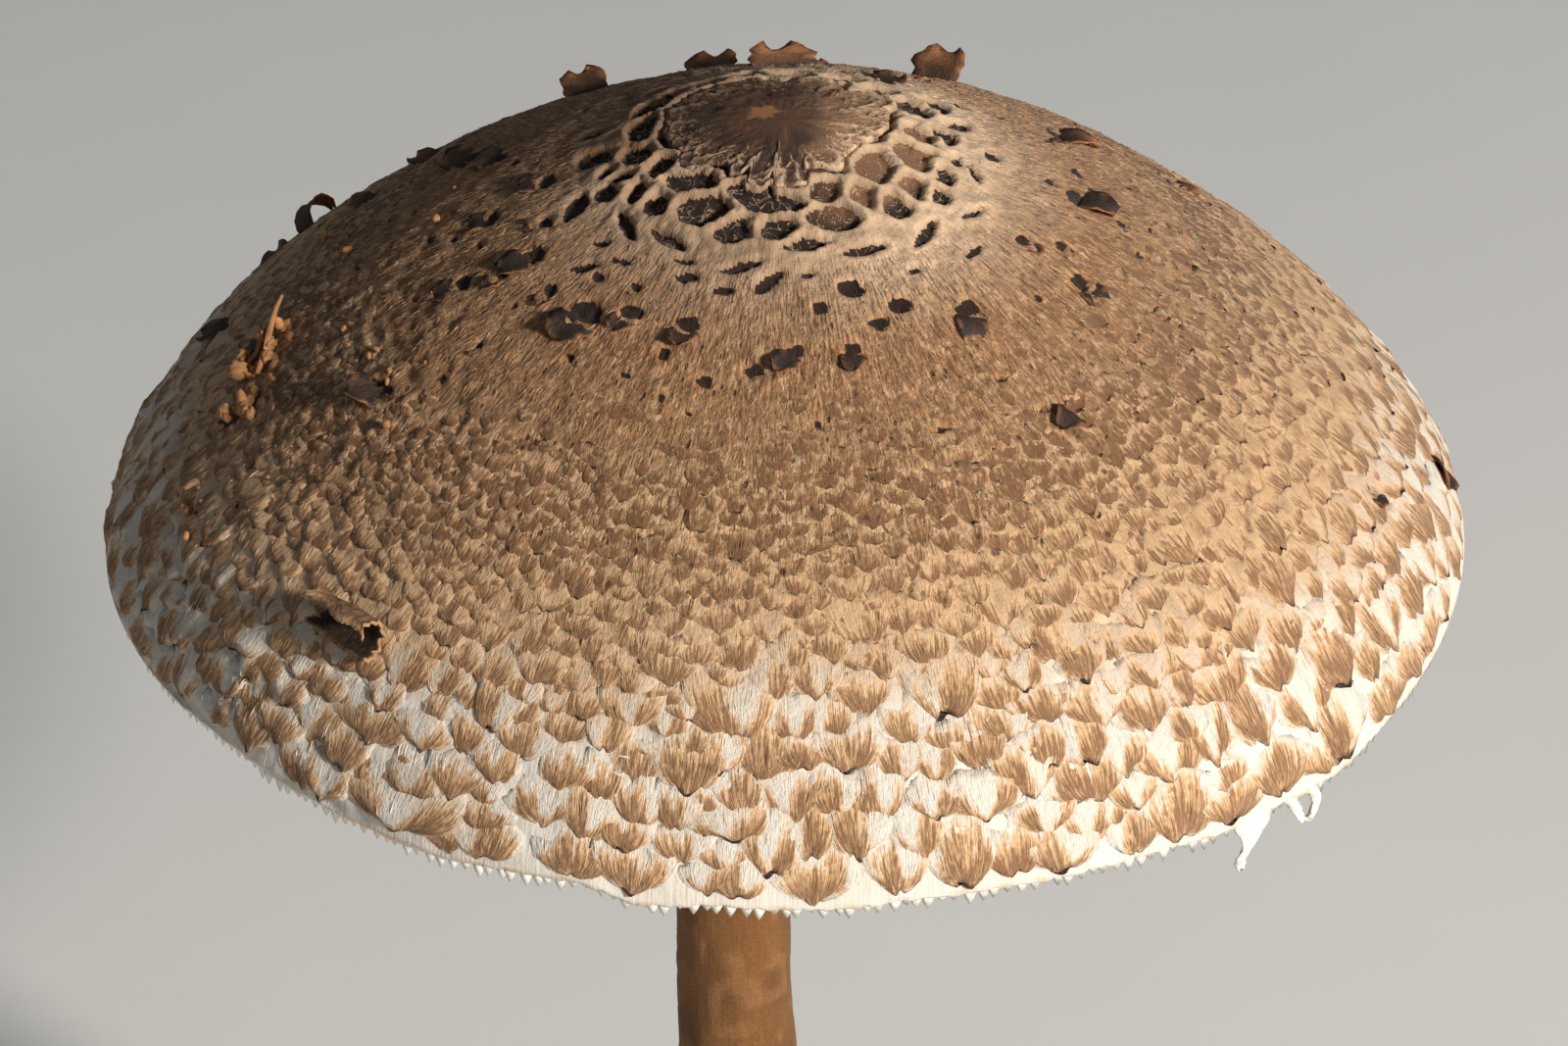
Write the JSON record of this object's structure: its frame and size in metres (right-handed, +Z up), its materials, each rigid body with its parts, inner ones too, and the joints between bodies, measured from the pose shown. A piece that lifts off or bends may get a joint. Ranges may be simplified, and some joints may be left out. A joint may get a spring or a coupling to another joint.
{
  "type": "parasol mushroom",
  "caption": "Parasol mushroom with a domed, scaly cap, dark umbo, free gills, a slim bowed stem with a loose double ring, and a bulb trimmed flat to stand on.",
  "frame": {"origin": "middle of the mushroom's box, at the level of the trimmed base", "axes": "+Z up along the stem, to the umbo; -Y towards the side where the torn scrap of veil hangs at the right"},
  "size_m": [0.1524, 0.1518, 0.2012],
  "materials": {
    "cap_felt": "matte felt, tan, with brown tips on cream flesh",
    "disc_skin": "dull, finely cracked",
    "gill_flesh": "matte",
    "stem_felt": "fine felt",
    "ring_veil": "soft, matte"
  },
  "bodies": {
    "root": {"cap": "cap_felt", "cap_disc": "disc_skin", "gills": "gill_flesh", "stem": "stem_felt", "ring": "ring_veil"}
  },
  "joints": []
}
